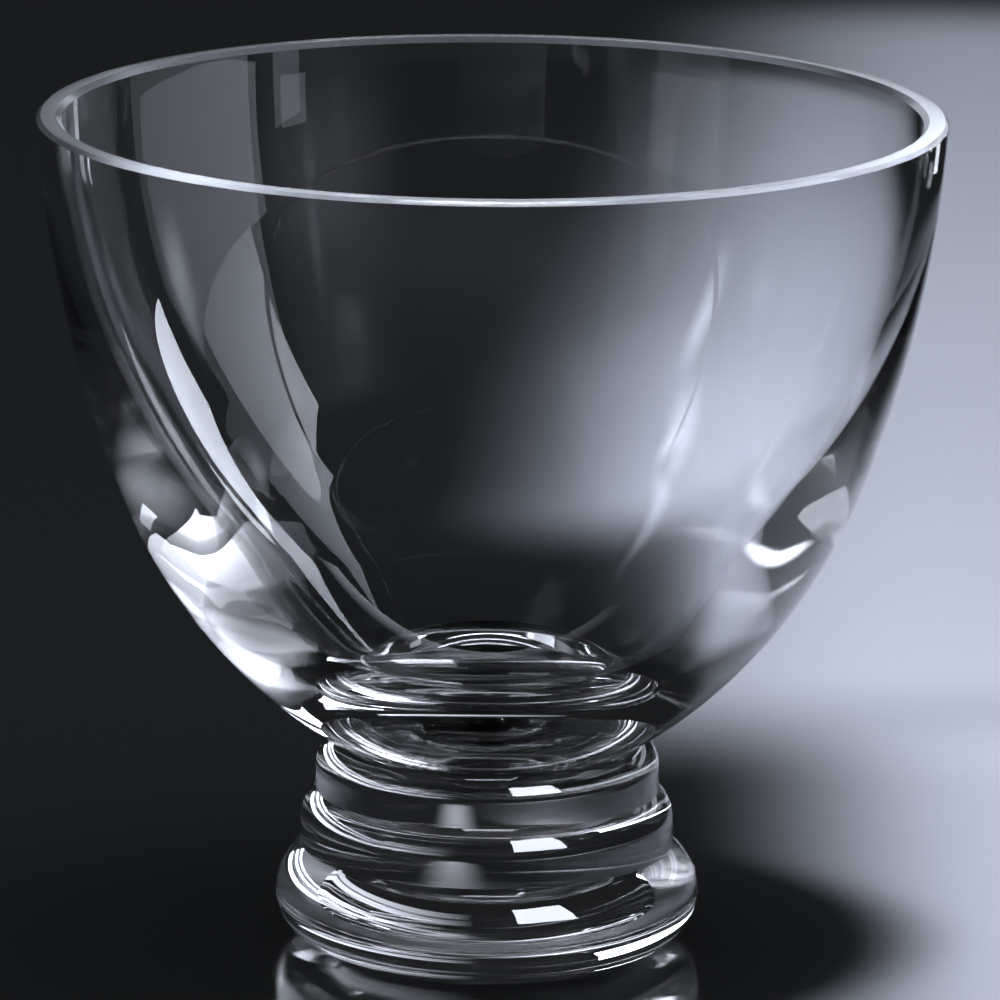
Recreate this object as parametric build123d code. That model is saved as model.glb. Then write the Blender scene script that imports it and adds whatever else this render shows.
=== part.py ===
from build123d import *
import os
from math import cos, radians, sin, sqrt

# Clear glass rose bowl on a solid stepped foot, in millimetres with +Z up.
# The origin is the middle of the foot's underside, where it stands on a table.

# Bowl
rim_diameter = 254.0
rim_wall = 7.0            # glass at the rim, between its outer and inner edge
rim_outer_bevel = 1.1
rim_inner_bevel = 1.5
bowl_height = 178.3       # from the neck to the rim
outer_lean = 3.5          # degrees that the outside still flares at the rim
outer_neck_lean = 58.0    # degrees that the outside leans where it runs into the neck
outer_arc_ratio = 0.9     # reach of the lower outside arc against the upper one
inner_lean = 1.5
inner_arc_ratio = 0.6
floor_thickness = 12.0    # glass from the neck up to the middle of the bowl's floor

# Foot, from the neck down: each ring stands out from the one above it by its step
neck_diameter = 88.0
upper_ring_height = 14.7
upper_ring_step = 4.5
upper_shoulder_height = 8.2
middle_ring_height = 16.1
middle_ring_step = 4.2
middle_shoulder_height = 9.3
base_ring_height = 27.4
base_ring_step = 7.1
base_crown_height = 13.0  # from the base ring's widest line up to its crease
base_tuck = 10.4          # how far the standing edge lies in from the widest line
hollow_diameter = 66.0    # polished hollow in the underside
hollow_depth = 1.8

# Heights of the joints and radii of the rings follow from the sizes above
base_top = base_ring_height
middle_top = base_top + middle_ring_height
neck_z = middle_top + upper_ring_height
rim_z = neck_z + bowl_height
rim_radius = rim_diameter / 2
neck_radius = neck_diameter / 2
upper_radius = neck_radius + upper_ring_step
middle_radius = upper_radius + middle_ring_step
base_radius = middle_radius + base_ring_step
standing_radius = base_radius - base_tuck

up = Vector(0, 1)
down = Vector(0, -1)
inwards = Vector(-1, 0)


def leaning_down(degrees):
    return Vector(-sin(radians(degrees)), -cos(radians(degrees)))


def arc_pair(start, start_way, end, end_way, ratio):
    # Two arcs that meet smoothly: one leaves start along start_way, the other reaches end along end_way.
    # Their tangents meet at reach from the start and ratio * reach from the end: one quadratic for reach.
    span = end - start
    square = 2 * ratio * (1 - start_way.dot(end_way))
    linear = 2 * span.dot(start_way + end_way * ratio)
    reach = (sqrt(linear**2 + 4 * square * span.dot(span)) - linear) / (2 * square)
    first_corner = start + start_way * reach
    last_corner = end - end_way * (ratio * reach)
    joint = first_corner + (last_corner - first_corner) / (1 + ratio)
    first = TangentArc(start, joint, tangent=start_way)
    return [first, TangentArc(joint, end, tangent=last_corner - first_corner)]


def turned(edges):
    # A closed outline, drawn with the radius along X and the height along Y, spun about the axis.
    return revolve(make_face(Plane.XZ * (Curve() + edges)), Axis.Z)


def make_bowl():
    floor_z = neck_z + floor_thickness
    outer_edge = Vector(rim_radius, rim_z - rim_outer_bevel)
    inner_edge = Vector(rim_radius - rim_wall, rim_z - rim_inner_bevel)
    neck_edge = Vector(neck_radius, neck_z)
    floor_middle = Vector(0, floor_z)
    rim = Polyline(
        outer_edge,
        (rim_radius - rim_outer_bevel, rim_z),
        (rim_radius - rim_wall + rim_inner_bevel, rim_z),
        inner_edge,
    )
    seat = Polyline(floor_middle, (0, neck_z), neck_edge)
    outer_way = leaning_down(outer_lean)
    outside = arc_pair(outer_edge, outer_way, neck_edge, leaning_down(outer_neck_lean), outer_arc_ratio)
    inner_way = leaning_down(inner_lean)
    inside = arc_pair(inner_edge, inner_way, floor_middle, inwards, inner_arc_ratio)
    return turned([rim, seat, *outside, *inside])


def make_ring(bottom_z, top_z, side_radius, top_radius, shoulder_height):
    # A disc of glass with an upright side and a rounded shoulder that rises to the ring above it.
    shoulder_foot = Vector(side_radius, top_z - shoulder_height)
    top_edge = Vector(top_radius, top_z)
    body = Polyline(top_edge, (0, top_z), (0, bottom_z), (side_radius, bottom_z), shoulder_foot)
    return turned([body, TangentArc(shoulder_foot, top_edge, tangent=up)])


def make_base_ring():
    # A full round moulding on a flat standing edge, with a shallow hollow inside that edge.
    widest = Vector(base_radius, base_top - base_crown_height)
    crease = Vector(middle_radius, base_top)
    hollow_middle = Vector(0, hollow_depth)
    hollow_edge = Vector(hollow_diameter / 2, 0)
    standing_edge = Vector(standing_radius, 0)
    return turned([
        TangentArc(hollow_middle, hollow_edge, tangent=-inwards),
        Line(hollow_edge, standing_edge),
        TangentArc(widest, standing_edge, tangent=down),
        TangentArc(widest, crease, tangent=up),
        Polyline(crease, (0, base_top), hollow_middle),
    ])


pieces = {
    "bowl": make_bowl(),
    "upper_ring": make_ring(middle_top, neck_z, upper_radius, neck_radius, upper_shoulder_height),
    "middle_ring": make_ring(base_top, middle_top, middle_radius, upper_radius, middle_shoulder_height),
    "base_ring": make_base_ring(),
}

os.makedirs("parts", exist_ok=True)
for name, piece in pieces.items():
    export_step(piece, f"parts/{name}.step")
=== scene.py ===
import math
import bmesh
import bpy
from mathutils import Matrix, Quaternion, Vector


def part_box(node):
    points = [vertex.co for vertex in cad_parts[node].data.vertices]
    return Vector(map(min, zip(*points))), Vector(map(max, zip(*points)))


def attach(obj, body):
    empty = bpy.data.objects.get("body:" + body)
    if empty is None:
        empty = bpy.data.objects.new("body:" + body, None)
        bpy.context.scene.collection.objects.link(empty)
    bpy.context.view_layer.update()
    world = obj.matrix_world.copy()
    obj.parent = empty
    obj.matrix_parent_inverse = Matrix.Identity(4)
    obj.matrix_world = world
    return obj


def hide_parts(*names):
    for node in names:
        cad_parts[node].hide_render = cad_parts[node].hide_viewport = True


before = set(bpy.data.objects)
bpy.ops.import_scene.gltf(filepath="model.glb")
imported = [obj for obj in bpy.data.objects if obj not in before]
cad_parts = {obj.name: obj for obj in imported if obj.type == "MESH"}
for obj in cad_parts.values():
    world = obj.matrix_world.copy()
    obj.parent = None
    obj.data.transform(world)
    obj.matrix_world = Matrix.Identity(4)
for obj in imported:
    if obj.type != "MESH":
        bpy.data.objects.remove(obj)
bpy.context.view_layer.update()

scene = bpy.context.scene
scene.view_settings.view_transform = "Standard"

# thick glass needs long light paths
lightPaths = {"max": 32, "transmission": 32, "glossy": 24, "transparent": 32}
scene.cycles.max_bounces = lightPaths["max"]
scene.cycles.transmission_bounces = lightPaths["transmission"]
scene.cycles.glossy_bounces = lightPaths["glossy"]
scene.cycles.transparent_max_bounces = lightPaths["transparent"]
scene.cycles.caustics_reflective = False
scene.cycles.caustics_refractive = False

# outlines are lists of (radius, height) in metres, and ways are directions in that plane
up, down, inwards = Vector((0, 1)), Vector((0, -1)), Vector((-1, 0))
straightBelow = 1e-6  # an arc that bends less than this is a straight line


def leaningDown(degrees):
    return Vector((-math.sin(math.radians(degrees)), -math.cos(math.radians(degrees))))


def arcTo(start, way, end, steps):
    # points after start on the arc that leaves it along way and ends at end
    span = end - start
    half = math.atan2(way.x * span.y - way.y * span.x, way.dot(span))
    points = []
    for i in range(1, steps + 1):
        turn = half * i / steps
        share = math.sin(turn) / math.sin(half) if abs(half) > straightBelow else i / steps
        c, s = math.cos(turn), math.sin(turn)
        aim = Vector((way.x * c - way.y * s, way.x * s + way.y * c))
        points.append(start + aim * (span.length * share))
    return points


def arcPair(start, startWay, end, endWay, ratio, steps):
    # two arcs that meet smoothly, as on the glass maker's template
    span = end - start
    square = 2 * ratio * (1 - startWay.dot(endWay))
    linear = 2 * span.dot(startWay + endWay * ratio)
    reach = (math.sqrt(linear ** 2 + 4 * square * span.dot(span)) - linear) / (2 * square)
    firstCorner = start + startWay * reach
    lastCorner = end - endWay * (ratio * reach)
    middle = firstCorner + (lastCorner - firstCorner) / (1 + ratio)
    middleWay = (lastCorner - firstCorner).normalized()
    return arcTo(start, startWay, middle, steps) + arcTo(middle, middleWay, end, steps)


def softCorner(before, corner, after, radius, steps):
    # a ground corner is never quite sharp
    wayIn, wayOut = (corner - before).normalized(), (after - corner).normalized()
    cut = radius * math.tan(wayIn.angle(wayOut) / 2)
    start, end = corner - wayIn * cut, corner + wayOut * cut
    return [start] + arcTo(start, wayIn, end, steps)


turning = {
    "segments": 288,
    "onAxis": 1e-7,  # a point nearer the axis than this closes the outline
    "sharpFrom": 28,  # degrees between two faces that meet in a crisp edge
}


def loopAround(verts, radius, height):
    # adds the points of one loop, or a single point on the axis, and gives their numbers
    if radius < turning["onAxis"]:
        verts.append((0.0, 0.0, height))
        return [len(verts) - 1]
    first = len(verts)
    for k in range(turning["segments"]):
        a = 2 * math.pi * k / turning["segments"]
        verts.append((radius * math.cos(a), radius * math.sin(a), height))
    return list(range(first, len(verts)))


def spin(name, stretches, materials):
    # stretches are (points, finish), and together they run from axis to axis
    verts, loops, finishes = [], [], []
    for points, finish in stretches:
        for p in points:
            loops.append(loopAround(verts, max(p.x, 0.0), p.y))
            finishes.append(finish)
    faces, faceFinish = [], []
    for i in range(len(loops) - 1):
        a, b = loops[i], loops[i + 1]
        for k in range(turning["segments"]):
            j = (k + 1) % turning["segments"]
            if len(a) == 1:
                faces.append((a[0], b[j], b[k]))
            elif len(b) == 1:
                faces.append((a[k], a[j], b[0]))
            else:
                faces.append((a[k], a[j], b[j], b[k]))
            faceFinish.append(finishes[i + 1])
    mesh = bpy.data.meshes.new(name)
    mesh.from_pydata(verts, [], faces)
    for material in materials:
        mesh.materials.append(material)
    mesh.polygons.foreach_set("material_index", faceFinish)
    mesh.polygons.foreach_set("use_smooth", [True] * len(faces))
    build = bmesh.new()
    build.from_mesh(mesh)
    bmesh.ops.recalc_face_normals(build, faces=build.faces)
    build.to_mesh(mesh)
    build.free()
    mesh.set_sharp_from_angle(angle=math.radians(turning["sharpFrom"]))
    piece = bpy.data.objects.new(name, mesh)
    scene.collection.objects.link(piece)
    return piece


# finishes
def newMaterial(name):
    material = bpy.data.materials.new(name)
    material.use_nodes = True
    material.node_tree.nodes.clear()
    return material, material.node_tree.nodes, material.node_tree.links


def glassBase(nodes, links, look):
    output = nodes.new("ShaderNodeOutputMaterial")
    shader = nodes.new("ShaderNodeBsdfPrincipled")
    shader.inputs["Base Color"].default_value = (*look["tint"], 1.0)
    shader.inputs["IOR"].default_value = look["ior"]
    shader.inputs["Transmission Weight"].default_value = look["through"]
    links.new(shader.outputs["BSDF"], output.inputs["Surface"])
    return shader


def markSurface(nodes, links, shader, marks, look):
    # the same marks make the bump and the change in polish
    bump = nodes.new("ShaderNodeBump")
    bump.inputs["Strength"].default_value = look["bumpStrength"]
    bump.inputs["Distance"].default_value = look["bumpDepth"]
    links.new(marks, bump.inputs["Height"])
    links.new(bump.outputs["Normal"], shader.inputs["Normal"])
    rough = nodes.new("ShaderNodeMapRange")
    rough.inputs["To Min"].default_value = look["roughLow"]
    rough.inputs["To Max"].default_value = look["roughHigh"]
    links.new(marks, rough.inputs["Value"])
    links.new(rough.outputs["Result"], shader.inputs["Roughness"])


firePolish = {
    "tint": (0.985, 0.993, 0.996), "ior": 1.52, "through": 1.0,
    "rippleScale": 18.0, "rippleDetail": 1.0, "bumpStrength": 0.003, "bumpDepth": 0.002,
    "roughLow": 0.0, "roughHigh": 0.012,
}


def makeFirePolish():
    # clear body: faint ripple left by the fire and a trace of haze in the polish
    material, nodes, links = newMaterial("firePolishedGlass")
    shader = glassBase(nodes, links, firePolish)
    place = nodes.new("ShaderNodeTexCoord")
    ripple = nodes.new("ShaderNodeTexNoise")
    ripple.inputs["Scale"].default_value = firePolish["rippleScale"]
    ripple.inputs["Detail"].default_value = firePolish["rippleDetail"]
    links.new(place.outputs["Object"], ripple.inputs["Vector"])
    markSurface(nodes, links, shader, ripple.outputs["Fac"], firePolish)
    return material


groundRim = {
    "tint": (0.93, 0.96, 0.98), "ior": 1.52, "through": 0.5,
    "streakScale": 900.0, "streakWander": 3.0, "streakDetail": 4.0, "streakDetailScale": 0.05,
    "bumpStrength": 0.05, "bumpDepth": 0.0004, "roughLow": 0.06, "roughHigh": 0.24,
}


def makeGroundRim():
    # flat ground edge with a satin share, and fine rings left by the wheel
    material, nodes, links = newMaterial("groundRimGlass")
    shader = glassBase(nodes, links, groundRim)
    place = nodes.new("ShaderNodeTexCoord")
    streak = nodes.new("ShaderNodeTexWave")
    streak.wave_type = "RINGS"
    streak.rings_direction = "Z"
    streak.inputs["Scale"].default_value = groundRim["streakScale"]
    streak.inputs["Distortion"].default_value = groundRim["streakWander"]
    streak.inputs["Detail"].default_value = groundRim["streakDetail"]
    streak.inputs["Detail Scale"].default_value = groundRim["streakDetailScale"]
    links.new(place.outputs["Object"], streak.inputs["Vector"])
    markSurface(nodes, links, shader, streak.outputs["Fac"], groundRim)
    return material


def makeFusedJoint():
    # the pieces are fused while hot, so light crosses the joint unbent
    material, nodes, links = newMaterial("fusedJoint")
    output = nodes.new("ShaderNodeOutputMaterial")
    seam = nodes.new("ShaderNodeBsdfTransparent")
    links.new(seam.outputs["BSDF"], output.inputs["Surface"])
    return material


finishOrder = [makeFirePolish(), makeGroundRim(), makeFusedJoint()]
clear, ground, joint = range(3)
print("finishes made:", [m.name for m in finishOrder])

bowl = {
    "rimWall": 0.0070, "outerBevel": 0.0011, "innerBevel": 0.0015, "cornerRadius": 0.0003, "cornerSteps": 3,
    "outerLean": 3.5, "neckLean": 58.0, "outerRatio": 0.9,
    "innerLean": 1.5, "innerRatio": 0.6, "floorThickness": 0.012, "neckRadius": 0.044,
    "arcSteps": 56,
}


def makeBowl():
    low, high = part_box("bowl")
    rimRadius, rimZ, neckZ = high.x, high.z, low.z
    outerEdge = Vector((rimRadius, rimZ - bowl["outerBevel"]))
    outerTop = Vector((rimRadius - bowl["outerBevel"], rimZ))
    innerTop = Vector((rimRadius - bowl["rimWall"] + bowl["innerBevel"], rimZ))
    innerEdge = Vector((rimRadius - bowl["rimWall"], rimZ - bowl["innerBevel"]))
    neckEdge = Vector((bowl["neckRadius"], neckZ))
    floorMiddle = Vector((0, neckZ + bowl["floorThickness"]))
    outerWay, neckWay = leaningDown(bowl["outerLean"]), leaningDown(bowl["neckLean"])
    innerWay = leaningDown(bowl["innerLean"])
    outside = arcPair(outerEdge, outerWay, neckEdge, neckWay, bowl["outerRatio"], bowl["arcSteps"])
    inside = arcPair(innerEdge, innerWay, floorMiddle, inwards, bowl["innerRatio"], bowl["arcSteps"])
    corner, steps = bowl["cornerRadius"], bowl["cornerSteps"]
    rimTop = softCorner(innerEdge, innerTop, outerTop, corner, steps)
    rimTop += softCorner(innerTop, outerTop, outerEdge, corner, steps)
    stretches = [
        (list(reversed(inside)), clear),
        ([innerEdge], clear),
        (rimTop, ground),
        ([outerEdge], ground),
        (outside, clear),
        ([Vector((0, neckZ))], joint),
    ]
    return spin("bowl", stretches, finishOrder)


rings = {
    "upper_ring": {"shoulderHeight": 0.0082, "steps": 18},
    "middle_ring": {"shoulderHeight": 0.0093, "steps": 18},
}


def makeRing(name, topRadius):
    low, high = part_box(name)
    shoulderFoot = Vector((high.x, high.z - rings[name]["shoulderHeight"]))
    topEdge = Vector((topRadius, high.z))
    stretches = [
        ([Vector((0, low.z)), Vector((high.x, low.z))], joint),
        ([shoulderFoot], clear),
        (arcTo(shoulderFoot, up, topEdge, rings[name]["steps"]), clear),
        ([Vector((0, high.z))], joint),
    ]
    return spin(name, stretches, finishOrder)


baseRing = {"crownHeight": 0.013, "tuck": 0.0104, "hollowRadius": 0.033, "hollowDepth": 0.0018, "steps": 24}


def makeBaseRing(topRadius):
    low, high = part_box("base_ring")
    widest = Vector((high.x, high.z - baseRing["crownHeight"]))
    standingEdge = Vector((high.x - baseRing["tuck"], low.z))
    hollowEdge = Vector((baseRing["hollowRadius"], low.z))
    hollowMiddle = Vector((0, low.z + baseRing["hollowDepth"]))
    crease = Vector((topRadius, high.z))
    lowerSide = arcTo(widest, down, standingEdge, baseRing["steps"])
    stretches = [
        ([hollowMiddle] + arcTo(hollowMiddle, -inwards, hollowEdge, baseRing["steps"]), clear),
        ([standingEdge], ground),
        (list(reversed(lowerSide))[1:] + [widest], clear),
        (arcTo(widest, up, crease, baseRing["steps"]), clear),
        ([Vector((0, high.z))], joint),
    ]
    return spin("base_ring", stretches, finishOrder)


def radiusOf(node):
    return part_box(node)[1].x


pieces = {
    "bowl": makeBowl(),
    "upper_ring": makeRing("upper_ring", bowl["neckRadius"]),
    "middle_ring": makeRing("middle_ring", radiusOf("upper_ring")),
    "base_ring": makeBaseRing(radiusOf("middle_ring")),
}
for node, piece in pieces.items():
    piece.name = node + "_glass"
    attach(piece, "root")
    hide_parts(node)
    print("piece", piece.name, len(piece.data.polygons), "faces")

# stage: a plain pale floor
floorLook = {"colour": (0.74, 0.76, 0.80), "roughness": 0.14, "size": 24.0, "drop": 0.0003}


def makeFloor():
    material, nodes, links = newMaterial("paleFloor")
    output = nodes.new("ShaderNodeOutputMaterial")
    shader = nodes.new("ShaderNodeBsdfPrincipled")
    shader.inputs["Base Color"].default_value = (*floorLook["colour"], 1.0)
    shader.inputs["Roughness"].default_value = floorLook["roughness"]
    links.new(shader.outputs["BSDF"], output.inputs["Surface"])
    half = floorLook["size"] / 2
    z = -floorLook["drop"]
    corners = [(-half, -half, z), (half, -half, z), (half, half, z), (-half, half, z)]
    mesh = bpy.data.meshes.new("floor")
    mesh.from_pydata(corners, [], [(0, 1, 2, 3)])
    mesh.materials.append(material)
    floor = bpy.data.objects.new("floor", mesh)
    scene.collection.objects.link(floor)
    return floor


floor = makeFloor()
print("floor made,", floorLook["size"], "m across")


# lamps, each for one group of receivers
def receivers(name, objects):
    group = bpy.data.collections.new(name)
    for obj in objects:
        group.objects.link(obj)
    return group


bowlGlass = receivers("bowlGlass", [pieces["bowl"]])
footGlass = receivers("footGlass", [piece for node, piece in pieces.items() if node != "bowl"])
floorAlone = receivers("floorAlone", [floor])
daylight = (0.82, 0.87, 1.0)


def addLamp(name, lit, place, aim, wide, tall, level, spread=180, tilt=0):
    # a level of 1 looks white, and tilt turns the lamp about the line to its aim
    data = bpy.data.lights.new(name, "AREA")
    data.shape = "RECTANGLE"
    data.size, data.size_y = wide, tall
    data.energy = level * math.pi * wide * tall
    data.color = daylight
    data.spread = math.radians(spread)
    lamp = bpy.data.objects.new(name, data)
    lamp.location = place
    facing = (Vector(aim) - Vector(place)).to_track_quat("-Z", "Y")
    lamp.rotation_euler = (facing @ Quaternion((0, 0, 1), math.radians(tilt))).to_euler()
    lamp.visible_camera = False
    lamp.light_linking.receiver_collection = lit
    scene.collection.objects.link(lamp)
    return data


def addDownLight(name, lit, look):
    return addLamp(name, lit, aim=(*look["place"][:2], 0), **look)


slatGap = (0.47, 0.55)  # noise below the first is dark between slats, above the second is bright
lampMiddle = 0.5  # a soft lamp is mirrored at its middle


def gradeLamp(data, fade=(1.0, 1.0), rise=(1.0, 1.0), soft=False, slats=0):
    # fade and rise are the shares of light at either end of the width and of the height,
    # a soft lamp falls off to all its edges, and slats break it into uneven lines
    data.use_nodes = True
    nodes, links = data.node_tree.nodes, data.node_tree.links
    where = nodes.new("ShaderNodeNewGeometry")
    parts = nodes.new("ShaderNodeSeparateXYZ")
    links.new(where.outputs["Parametric"], parts.inputs["Vector"])
    shares = []
    for axis, (first, last) in (("X", fade), ("Y", rise)):
        share = nodes.new("ShaderNodeMapRange")
        share.inputs["To Min"].default_value = 0.0 if soft else first
        share.inputs["To Max"].default_value = 1.0 if soft else last
        place = parts.outputs[axis]
        if soft:
            fold = nodes.new("ShaderNodeMath")
            fold.operation = "PINGPONG"
            fold.inputs[1].default_value = lampMiddle
            links.new(place, fold.inputs[0])
            place = fold.outputs["Value"]
            share.interpolation_type = "SMOOTHSTEP"
            share.inputs["From Max"].default_value = lampMiddle
        links.new(place, share.inputs["Value"])
        shares.append(share.outputs["Result"])
    if slats:
        lines = nodes.new("ShaderNodeTexNoise")
        lines.noise_dimensions = "1D"
        lines.inputs["Scale"].default_value = slats
        links.new(parts.outputs["Y"], lines.inputs["W"])
        gaps = nodes.new("ShaderNodeMapRange")
        gaps.interpolation_type = "SMOOTHSTEP"
        gaps.inputs["From Min"].default_value = slatGap[0]
        gaps.inputs["From Max"].default_value = slatGap[1]
        links.new(lines.outputs["Fac"], gaps.inputs["Value"])
        shares.append(gaps.outputs["Result"])
    strength = shares[0]
    for share in shares[1:]:
        product = nodes.new("ShaderNodeMath")
        product.operation = "MULTIPLY"
        links.new(strength, product.inputs[0])
        links.new(share, product.inputs[1])
        strength = product.outputs["Value"]
    links.new(strength, nodes["Emission"].inputs["Strength"])


# soft panels round the vase: turn 0 is the camera's side and 90 the right, across is the width as an angle,
# and low and high are angles above the hub
panelHub = Vector((0, 0, 0.15))
panelAway = 1.5
bowlPanels = {
    "rightPanel": {"turn": 94, "across": 46, "low": -5, "high": 15, "level": 1.6, "fade": (1.0, 0.4)},
    "rightPanelTop": {
        "turn": 95, "across": 34, "low": 15, "high": 38, "level": 7.5,
        "fade": (1.0, 0.5), "rise": (0.4, 1.0),
    },
    "rightPanelFoot": {"turn": 59, "across": 8, "low": -2, "high": 5, "level": 1.3},
    "rightFront": {"turn": 50, "across": 56, "low": -6, "high": 26, "level": 0.4, "soft": True},
    "rightRear": {"turn": 113, "across": 18, "low": 4, "high": 15, "level": 3.0, "soft": True},
    "backRightPanel": {"turn": 139.5, "across": 23, "low": 2.2, "high": 7.8, "level": 12.0, "tilt": -16},
    "backRightEdge": {"turn": 156, "across": 4, "low": -4, "high": 1.5, "level": 7.0},
    "leftStrip": {"turn": -77, "across": 11, "low": 14, "high": 34, "level": 8.0, "soft": True},
    "leftStripTop": {"turn": -93, "across": 34, "low": 29, "high": 39, "level": 9.0, "soft": True},
    "leftMiddle": {"turn": -96, "across": 16, "low": 12, "high": 21, "level": 1.2, "soft": True},
    "leftLow": {"turn": -57, "across": 22, "low": -2, "high": 12, "level": 0.5},
    "rimPanel": {
        "turn": 175.5, "across": 50, "low": 17, "high": 24, "away": 0.5, "level": 4.0,
        "fade": (1.0, 0.1), "rise": (0.1, 1.0),
    },
}
footPanels = {
    "footSoftbox": {"turn": 34, "across": 34, "low": 14, "high": 46, "level": 25.0},
    "footLeft": {"turn": -112, "across": 90, "low": 0, "high": 17, "level": 18.0, "slats": 7},
    "footFrontLeft": {
        "turn": -44, "across": 46, "low": 0, "high": 17, "level": 20.0,
        "fade": (1.0, 0.0), "slats": 7,
    },
    "footBack": {
        "turn": 152, "across": 52, "low": 8, "high": 32, "level": 2.8,
        "fade": (1.0, 0.0), "slats": 9,
    },
}
gradeKeys = ("fade", "rise", "soft", "slats")


def addPanel(name, lit, look):
    turn, away = math.radians(look["turn"]), look.get("away", panelAway)
    low = panelHub.z + away * math.tan(math.radians(look["low"]))
    high = panelHub.z + away * math.tan(math.radians(look["high"]))
    place = Vector((away * math.sin(turn), -away * math.cos(turn), (low + high) / 2))
    aim = (0, 0, place.z)
    wide = 2 * away * math.tan(math.radians(look["across"] / 2))
    data = addLamp(name, lit, place, aim, wide, high - low, look["level"], tilt=look.get("tilt", 0))
    grade = {key: look[key] for key in gradeKeys if key in look}
    if grade:
        gradeLamp(data, **grade)


for name, look in bowlPanels.items():
    addPanel(name, bowlGlass, look)
for name, look in footPanels.items():
    addPanel(name, footGlass, look)

# a soft glow that faces up, low in front of the foot
footGlow = {
    "place": (-0.072, -0.215, 0.002), "aim": (-0.072, -0.215, 1),
    "wide": 0.11, "tall": 0.3, "level": 9.0, "tilt": 21,
}
gradeLamp(addLamp("footGlow", footGlass, **footGlow), soft=True)

# narrow lights straight above the rim, for its ground face
rimLights = {
    "rimRight": {"place": (0.118, -0.04, 0.5), "wide": 0.06, "tall": 0.1, "level": 2.8, "spread": 24},
    "rimFront": {"place": (0.02, -0.115, 0.5), "wide": 0.2, "tall": 0.03, "level": 2.4, "spread": 30},
    "rimFrontLeft": {"place": (-0.085, -0.095, 0.5), "wide": 0.04, "tall": 0.04, "level": 3.2, "spread": 14},
}
for name, look in rimLights.items():
    addDownLight(name, bowlGlass, look)

# pools of light on the floor: a long one behind to the right, one beside the foot and a wide one out in front
floorPools = {
    "floorPool": {
        "place": (0.205, 0.864, 0.74), "wide": 0.23, "tall": 1.243, "level": 1.15,
        "spread": 13.1, "tilt": -4.0,
    },
    "poolNear": {"place": (0.221, -0.055, 0.5), "wide": 0.22, "tall": 0.59, "level": 1.12, "spread": 13},
    "poolFront": {"place": (0, -1.45, 0.9), "wide": 3.4, "tall": 1.9, "level": 0.22, "spread": 36},
}
poolRise = (1.12, 0.54)  # shares of the long pool's light at its two ends
pools = {name: addDownLight(name, floorAlone, look) for name, look in floorPools.items()}
gradeLamp(pools["floorPool"], rise=poolRise)

# a weak soft light from above
topLight = {"place": (0.25, 0.1, 1.6), "aim": (0, 0, 0), "wide": 0.8, "tall": 0.8, "level": 0.12}
addLamp("topLight", floorAlone, **topLight)

sky = {"colour": (0.9, 0.95, 1.0), "level": 0.012}
world = bpy.data.worlds.new("studio")
scene.world = world
world.use_nodes = True
background = world.node_tree.nodes["Background"]
background.inputs["Color"].default_value = (*sky["colour"], 1.0)
background.inputs["Strength"].default_value = sky["level"]

# camera: a long lens, a little above the rim
view = {
    "back": 2.7318, "height": 0.752, "pitch": 12.90, "yaw": 0.061, "roll": 0.484,
    "lens": 359.24, "sensor": 36.0, "reach": 60.0,
}
lens = bpy.data.cameras.new("camera")
lens.lens = view["lens"]
lens.sensor_width = view["sensor"]
lens.clip_end = view["reach"]
camera = bpy.data.objects.new("camera", lens)
scene.collection.objects.link(camera)
stand = Matrix.Translation((0, -view["back"], view["height"]))
yaw = Matrix.Rotation(-math.radians(view["yaw"]), 4, "Z")
pitch = Matrix.Rotation(math.radians(90 - view["pitch"]), 4, "X")
roll = Matrix.Rotation(math.radians(view["roll"]), 4, "Z")
camera.matrix_world = stand @ (yaw @ pitch) @ roll
scene.camera = camera
print("camera set,", view["lens"], "mm lens")
